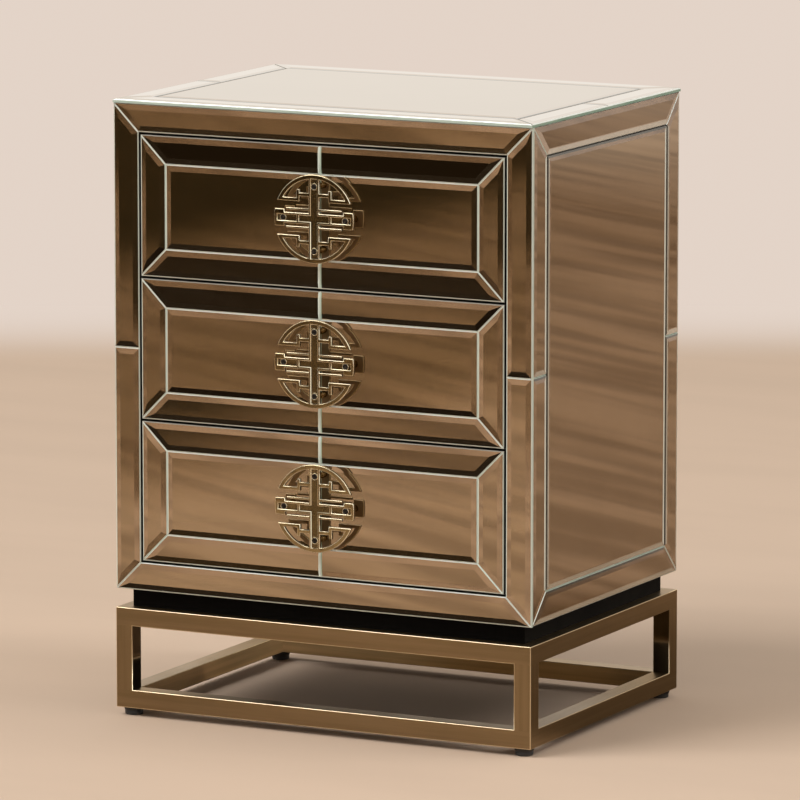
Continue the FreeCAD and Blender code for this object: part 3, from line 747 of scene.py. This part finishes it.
def addRing(work, middle, axis, turns, reaches):  # one corner at each angle about an axis
    right = axis.orthogonal().normalized()
    ahead = axis.cross(right)
    return [work.verts.new(middle + (right * math.cos(turn) + ahead * math.sin(turn)) * reach)
            for turn, reach in zip(turns, reaches)]


def joinRings(work, lower, upper):  # a ring that is one point gives triangles
    made = []
    for index in range(len(lower)):
        following = (index + 1) % len(lower)
        corners = [lower[index], lower[following], upper[following], upper[index]]
        made.append(work.faces.new(list(dict.fromkeys(corners))))
    return made


def lathe(work, profile, centre, axis, turns):  # rings of (radius, height) about a centre, along an axis
    axis = Vector(axis)
    rings = []
    for radius, height in profile:
        middle = centre + axis * height
        if radius == 0:
            rings.append([work.verts.new(middle)] * len(turns))
        else:
            rings.append(addRing(work, middle, axis, turns, [radius] * len(turns)))
    for lower, upper in zip(rings, rings[1:]):
        joinRings(work, lower, upper)


glides = {
    "taper": 0.0015,                     # metres by which the foot is smaller than the top
    "lip": 0.0008, "waist": 0.0006,
    "groove": (0.4, 0.44, 0.52, 0.56),   # shares of the height
    "flare": (0.0004, 0.0006),           # metres wider than the foot, below the groove and above it
    "turns": 48,
}


def footGlides():
    lip = glides["lip"]
    waist = glides["waist"]
    work = bmesh.new()
    for low, high in islands("foot_glides"):
        radius = (high.x - low.x) / 2
        height = high.z - low.z
        foot = radius - glides["taper"]
        centre = Vector(((low.x + high.x) / 2, (low.y + high.y) / 2, low.z))
        under, over = (foot + flare for flare in glides["flare"])
        start, floor, ceiling, stop = (height * share for share in glides["groove"])
        profile = [
            (0, 0), (foot - 2 * lip, 0), (foot - lip * 0.6, lip * 0.3), (foot, lip),
            (under, start), (under - waist, floor), (over - waist, ceiling), (over, stop),
            (radius, height - lip), (radius - lip * 0.4, height), (0, height),
        ]
        lathe(work, profile, centre, (0, 0, 1), evenTurns(glides["turns"]))
    bmesh.ops.recalc_face_normals(work, faces=work.faces)
    return addWork("foot_glides_moulded", work, "foot_glides", "plastic", ["foot_glides"])


footGlides()


baseTube = {"edge": 0.0009, "segments": 3}
tabPlate = {"edge": 0.0006, "segments": 2}


def weldedBase():  # both rings and the four posts as one frame with dressed welds
    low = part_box("base_bottom_rails")[0]
    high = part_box("base_top_rails")[1]
    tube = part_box("base_bottom_rails")[1].z - low.z
    marks = [(low[axis], low[axis] + tube, high[axis] - tube, high[axis]) for axis in range(3)]

    def filled(cell):  # of three cells each way: tube, gap, tube
        return all(0 <= index < 3 for index in cell) and sum(index != 1 for index in cell) >= 2

    work = bmesh.new()
    along = work.faces.layers.float_vector.new("along")
    inside = work.faces.layers.float.new("inside")
    corners = {}

    def corner(cell):
        if cell not in corners:
            corners[cell] = work.verts.new([marks[axis][cell[axis]] for axis in range(3)])
        return corners[cell]

    for cell in [(i, j, k) for i in range(3) for j in range(3) for k in range(3)]:
        if not filled(cell):
            continue
        for axis in range(3):
            for step in (0, 1):
                neighbour = list(cell)
                neighbour[axis] += 2 * step - 1
                if filled(neighbour):
                    continue
                spots = []
                for first, second in ((0, 0), (1, 0), (1, 1), (0, 1)):
                    spot = list(cell)
                    spot[axis] += step
                    spot[(axis + 1) % 3] += first
                    spot[(axis + 2) % 3] += second
                    spots.append(corner(tuple(spot)))
                face = work.faces.new(spots if step else spots[::-1])
                run = cell.index(1) if 1 in cell else (1 if axis == 0 else 0)
                face[along] = [float(index == run) for index in range(3)]
                # inner faces of the low ring are marked for painted light
                face[inside] = float(axis < 2 and cell[2] == 0 and cell[axis] == 2 - 2 * step)
    softenEdges(work, baseTube)
    return addWork("base_frame_welded", work, "base_posts", "gold",
                   ["base_bottom_rails", "base_top_rails", "base_posts"])


weldedBase()
dress("base_tabs", "plate", "gold", tabPlate)
print("base: welded frame, tabs, glides")


screwShape = {
    "recess": 0.62, "arm": 0.28, "depth": 0.42, "floor": 0.85, "narrow": 0.7,   # the cross, in shares
    "between": (23, 34, 45, 56, 67),     # degrees between two arms, for a round head
    "shank": 0.6, "point": 0.5, "tip": 0.0015, "turns": 20,
    # Shares of the head's radius and height, from its seat up
    "pan": ((1.0, 0.0), (1.0, 0.4), (0.97, 0.62), (0.9, 0.8), (0.78, 0.94)),
    "sunk": ((0.55, 0.0), (0.96, 0.88), (1.0, 0.97), (0.98, 1.0)),
}
headHeights = {"pull": 0.0009, "back": 0.0025, "bolt": 0.004}   # metres
collars = {"inside": 0.003, "outside": 0.0039, "height": 0.0005, "shoulder": 0.6, "sunk": 0.0002,
           "turns": 40, "rubbed": 0.8}
slideScrews = {"radius": 0.0034, "height": 0.0017, "sheet": 0.0012, "along": (0.1, 0.42, 0.88)}


def crossTurns(slope):  # angles that hold every corner of a cross, and enough others for a round head
    first = math.degrees(math.atan(slope))
    quarter = [0, first, *screwShape["between"], 90 - first]
    return [math.radians(turn + 90 * side) for side in range(4) for turn in quarter]


def crossReach(turn, length, width):  # from the middle to the outline of a cross, at an angle
    tiny = 1e-9                          # keeps the divisions safe
    across = abs(math.cos(turn)) + tiny
    upward = abs(math.sin(turn)) + tiny
    return max(min(length / across, width / upward), min(width / across, length / upward))


def screwHead(work, seat, axis, radius, height, kind="pan"):  # head with a cross recess, on a seat
    shape = screwShape
    length = radius * shape["recess"]
    turns = crossTurns(shape["arm"])
    cross = [crossReach(turn, length, length * shape["arm"]) for turn in turns]
    deep = height - min(radius * shape["depth"], height * shape["floor"])
    rows = [([radius * share] * len(turns), height * level) for share, level in shape[kind]]
    rows += [(cross, height), ([reach * shape["narrow"] for reach in cross], deep)]
    rings = [addRing(work, seat + axis * level, axis, turns, reaches) for reaches, level in rows]
    rubbed = work.faces.layers.float.get("rubbed") or work.faces.layers.float.new("rubbed")
    top = len(shape[kind])
    for strip, (lower, upper) in enumerate(zip(rings, rings[1:])):
        for face in joinRings(work, lower, upper):
            face[rubbed] = float(kind == "sunk" and strip in (top - 1, top - 2))
    work.faces.new(rings[-1])
    work.faces.new(rings[0][::-1])


def screwSet(node, axis, height, kind="pan"):  # each screw of a node again, with a real head
    shape = screwShape
    work = bmesh.new()
    axis = Vector(axis)
    for low, high in islands(node):
        middle = (low + high) / 2
        half = (high - low) / 2
        radius = min(half)
        reach = abs(half.dot(axis))
        seat = middle + axis * (reach - height)
        screwHead(work, seat, axis, radius, height, kind)
        shank = radius * shape["shank"]
        run = 2 * reach - height
        profile = [(0, -run), (shank * shape["point"], -run), (shank, shape["tip"] - run), (shank, 0), (0, 0)]
        lathe(work, profile, seat, axis, evenTurns(shape["turns"]))
    return addWork(f"{node}_turned", work, node, "screw", [node])


def screwCollars(drawer):  # rounded brass rings about the screws, on the floor of the pull's channels
    inside = collars["inside"]
    outside = collars["outside"]
    height = collars["height"]
    shoulder = height * collars["shoulder"]
    foot = -collars["sunk"]
    profile = [(inside, foot), (inside, shoulder), ((inside + outside) / 2, height), (outside, shoulder),
               (outside, foot), (inside, foot)]
    work = bmesh.new()
    for low, high in islands(f"{drawer}_pull_screws"):
        seat = Vector(((low.x + high.x) / 2, low.y + headHeights["pull"], (low.z + high.z) / 2))
        lathe(work, profile, seat, (0, -1, 0), evenTurns(collars["turns"]))
    name = f"{drawer}_pull_collars"
    mesh = toMesh(work, name)
    giveValues(mesh, "rubbed", "FLOAT", "FACE", [collars["rubbed"]] * len(mesh.polygons))
    return addPiece(name, mesh, f"{drawer}_pull", [finishes["brass"]])


def slideFixings(node):  # pan heads on the web of each slide, facing its fellow
    shape = slideScrews
    work = bmesh.new()
    onDrawer = bodyOf[node] in drawers
    for low, high in islands(node):
        outward = 1 if low.x > 0 else -1
        inner, outer = (low.x, high.x) if outward > 0 else (high.x, low.x)
        web = inner if onDrawer else outer
        axis = Vector((outward if onDrawer else -outward, 0, 0))
        for share in shape["along"]:
            run = low.y + (high.y - low.y) * share
            seat = Vector((web + axis.x * shape["sheet"], run, (low.z + high.z) / 2))
            screwHead(work, seat, axis, shape["radius"], shape["height"])
    return addWork(f"{node}_fixings", work, node, "zinc")


for drawer in drawers:
    screwSet(f"{drawer}_pull_screws", (0, -1, 0), headHeights["pull"])
    screwCollars(drawer)
screwSet("back_panel_screws", (0, 1, 0), headHeights["back"], "sunk")
screwSet("base_bolts", (0, 0, -1), headHeights["bolt"])
for node in slideNodes:
    slideFixings(node)
print("screws: pulls, back, base, slides")


camera = {
    "place": (3.4287, -6.7232, 1.5653), "yaw": 26.985, "down": 9.2285,   # metres and degrees
    "lens": 317.06, "sensor": 36, "far": 200,
}


def makeCamera():
    data = bpy.data.cameras.new("camera")
    data.lens = camera["lens"]
    data.sensor_width = camera["sensor"]
    data.clip_end = camera["far"]
    holder = bpy.data.objects.new("camera", data)
    holder.location = camera["place"]
    holder.rotation_euler = (math.radians(90 - camera["down"]), 0, math.radians(camera["yaw"]))
    bpy.context.scene.collection.objects.link(holder)
    bpy.context.scene.camera = holder


studio = {
    "floor": (0.64, 0.49, 0.375), "half": 40,
    "cloud": (1.3, 5, 1), "clouded": 0.92,                # clouds per metre each way, and their shade
    "far": (0.77, 0.655, 0.575), "sweep": (2.42, 2.98),   # metres behind the object
    "sky": (1.0, 0.945, 0.87), "ambient": 0.5,
    "key": {"place": (-3.6, -4.4, 6.6), "size": 4.5, "power": 470},
    "fill": {"place": (4.5, 1.0, 4.5), "size": 3.5, "power": 110},
    "aim": (0, 0, 0.3),                                   # where both lamps point
}


def addSheet(name, points, faces, material, reflectedOnly):  # mirrors and metal show it, or everything
    mesh = bpy.data.meshes.new(name)
    mesh.from_pydata(points, [], faces)
    mesh.materials.append(material)
    sheet = bpy.data.objects.new(name, mesh)
    bpy.context.scene.collection.objects.link(sheet)
    if reflectedOnly:
        sheet.visible_camera = False
        sheet.visible_diffuse = False
        sheet.visible_shadow = False
        sheet.visible_transmission = False


def levelSheet(name, half, height, material, reflectedOnly=True):
    points = [(x * half, y * half, height) for x, y in ((-1, -1), (1, -1), (1, 1), (-1, 1))]
    addSheet(name, points, [(0, 1, 2, 3)], material, reflectedOnly)


def seenDirectly(pen):  # 1 for rays that show the background: straight, in mirrors and through glass
    rays = [pen.node("LightPath", output=name)
            for name in ("Is Camera Ray", "Is Glossy Ray", "Is Transmission Ray")]
    return pen.math("MAXIMUM", pen.math("MAXIMUM", rays[0], rays[1]), rays[2])


def inStudio(pen):  # place in the studio, from the middle of the floor
    return pen.node("NewGeometry", output="Position")


def coverWith(pen, cover, under, over):  # one shader over another, as far as it covers
    pen.node("OutputMaterial", {}, {"Surface": pen.node("MixShader", {}, {0: cover, 1: under, 2: over})})


def levelTurn(degrees):  # level direction, in degrees from x
    turn = math.radians(degrees)
    return Vector((math.cos(turn), math.sin(turn), 0))


def makeFloor():
    material, pen = newMaterial("studio_floor")
    yaw = math.radians(camera["yaw"])
    far = inStudio(pen).reach((-math.sin(yaw), math.cos(yaw), 0)).between(*studio["sweep"])
    where = pen.node("Mapping", {}, {"Vector": inStudio(pen), "Scale": studio["cloud"]})
    cloud = pen.noise(where, 1.2, 3).between(0.3, 0.75)
    near = (cloud * 0.5).blend(studio["floor"], tuple(part * studio["clouded"] for part in studio["floor"]))
    matt = pen.node("BsdfPrincipled", {}, {"Base Color": far.blend(near, studio["far"]), "Roughness": 0.9,
                                           "Specular IOR Level": 0.1})
    glow = pen.node("Emission", {}, {"Color": studio["far"]})
    coverWith(pen, far * seenDirectly(pen), matt, glow)
    levelSheet("studio_floor", studio["half"], 0, material, reflectedOnly=False)


reflectedShades = {
    # Dark sheet to the front left that only mirrors and metal show: painted shade in their reflections, less
    # of it on the right, then up a stand
    "dark_reflected_shade": {
        "turn": (-1, -1), "skew": 1.5, "stages": ((1.5, 2.5, 0.55), (3.6, 4.5, 0.42)),
        "foot": (0.042, 0.031, 0.014), "top": (0.011, 0.008, 0.005), "rise": 0.25,
        "filter": (1.0, 0.83, 0.57), "hem": 0.22,
        "reach": (1.4, 5.2, 5.3), "heights": (0.002, 0.003, 1.7), "half": 6,
    },
    # Thin brown sheet on the floor behind the object, to the right, that only mirrors and metal show: painted
    # shade in their reflections
    "brown_reflected_shade": {
        "turn": (1, 1), "skew": 0.0,
        "stages": ((0.0, 0.1, 0.85), (0.6, 1.0, -0.53), (3.2, 4.0, 0.08), (4.6, 5.3, -0.3)),
        "foot": (0.07, 0.043, 0.018), "top": (0.07, 0.043, 0.018), "rise": 0.25,
        "filter": (1.0, 0.82, 0.67), "hem": 0.05,
        "reach": (0.0, 5.4, 5.5), "heights": (0.004, 0.005, 0.009), "half": 6,
    },
    # Thinner such sheet on the floor to the front right: painted shade in reflections
    "right_reflected_shade": {
        "turn": (1, -1), "skew": -0.75, "stages": ((0.5, 1.7, 0.4),),
        "foot": (0.06, 0.04, 0.02), "top": (0.06, 0.04, 0.02), "rise": 0.25,
        "filter": (1.0, 0.86, 0.7), "hem": 0.4,
        "reach": (0.0, 5.4, 5.5), "heights": (0.007, 0.008, 0.012), "half": 6,
    },
}


# a sheet that only mirrors and metal show: painted shade in their reflections
def makeReflectedShade(name):
    darkening = reflectedShades[name]
    material, pen = newMaterial(name)
    yaw = math.radians(camera["yaw"])
    toward = Vector((darkening["turn"][0] * math.sin(yaw), darkening["turn"][1] * math.cos(yaw), 0))
    right = Vector((-toward.y, toward.x, 0))
    distance = inStudio(pen).reach(toward - right * darkening["skew"])
    cover = 0.0
    for start, stop, share in darkening["stages"]:
        cover = distance.between(start, stop) * share + cover
    begin = darkening["reach"][0]
    cover = cover * inStudio(pen).reach(toward).between(begin, begin + darkening["hem"])
    upward = inStudio(pen).reach((0, 0, 1)).between(0.0, darkening["rise"])
    dark = pen.node("Emission", {}, {"Color": upward.blend(darkening["foot"], darkening["top"])})
    clear = pen.node("BsdfTransparent")
    tinted = pen.node("BsdfTransparent", {}, {"Color": darkening["filter"]})
    thin = pen.node("MixShader", {}, {0: cover, 1: clear, 2: tinted})
    coverWith(pen, cover, thin, dark)
    points = []
    for reach, height in zip(darkening["reach"], darkening["heights"]):
        for half in (-darkening["half"], darkening["half"]):
            points.append(toward * reach + right * half + Vector((0, 0, height)))
    addSheet(name, points, [(0, 1, 3, 2), (2, 3, 5, 4)], material, reflectedOnly=True)


streaks = {
    "turn": 31, "along": 1.2, "across": 14,           # degrees from x; noise per metre each way
    "dark": (0.3, 0.208, 0.128), "pale": (0.98, 0.75, 0.55),
    "share": 0.4, "start": (0.26, 0.42), "stop": (5, 7), "height": 0.001,
}


def makeStreaks():  # long soft dark and pale marks that only mirrors and metal show: painted reflections of a marked floor
    look = streaks
    material, pen = newMaterial("floor_reflection_marks")
    along = inStudio(pen).reach(levelTurn(look["turn"]) * look["along"])
    across = inStudio(pen).reach(levelTurn(look["turn"] + 90) * look["across"])
    tone = pen.noise(pen.node("CombineXYZ", {}, {"X": along, "Y": across}), 1, 2).between(0.35, 0.65)
    distance = inStudio(pen).length()
    cover = distance.between(*look["start"]) * (1 - distance.between(*look["stop"])) * look["share"]
    mark = pen.node("Emission", {}, {"Color": tone.blend(look["dark"], look["pale"])})
    coverWith(pen, cover, pen.node("BsdfTransparent"), mark)
    levelSheet("floor_reflection_marks", look["stop"][1], look["height"], material)


overheadGlow = {
    "height": 8.0, "turn": 20, "period": 1.7,          # metres between its bright bands, which stand for lamp tubes in the reflections
    "bright": (1.0, 0.945, 0.87), "dim": (0.66, 0.605, 0.54), "edge": (14, 17),
}


def makeOverheadGlow():  # glowing sheet overhead that only mirrors and metal show, brighter in bands: painted reflections of lamp tubes, for mirrors that are seen from above
    look = overheadGlow
    material, pen = newMaterial("overhead_reflected_glow")
    wave = inStudio(pen).reach(levelTurn(look["turn"]) * (2 * math.pi / look["period"]))
    tone = pen.math("SINE", wave) * 0.5 + 0.5
    cover = 1 - inStudio(pen).length().between(*look["edge"])
    light = pen.node("Emission", {}, {"Color": tone.blend(look["dim"], look["bright"])})
    coverWith(pen, cover, pen.node("BsdfTransparent"), light)
    levelSheet("overhead_reflected_glow", look["edge"][1], look["height"], material)


def makeWorld():
    world = bpy.data.worlds.new("studio")
    bpy.context.scene.world = world
    world.use_nodes = True
    world.node_tree.nodes.clear()
    pen = Wire(world.node_tree)
    strength = studio["ambient"] + seenDirectly(pen) * (1 - studio["ambient"])
    glow = pen.node("Background", {}, {"Color": studio["sky"], "Strength": strength})
    pen.node("OutputWorld", {}, {"Surface": glow})


def makeLamp(name):
    lamp = studio[name]
    data = bpy.data.lights.new(name, "AREA")
    data.shape = "SQUARE"
    data.size = lamp["size"]
    data.energy = lamp["power"]
    holder = bpy.data.objects.new(name, data)
    holder.location = lamp["place"]
    holder.rotation_euler = (Vector(studio["aim"]) - holder.location).to_track_quat("-Z", "Y").to_euler()
    bpy.context.scene.collection.objects.link(holder)


makeCamera()
makeFloor()
for name in reflectedShades:
    makeReflectedShade(name)
makeStreaks()
makeOverheadGlow()
makeWorld()
makeLamp("key")
makeLamp("fill")
bpy.context.scene.view_settings.view_transform = "Standard"
print("studio: camera, floor, reflection_sheets, two lamps")
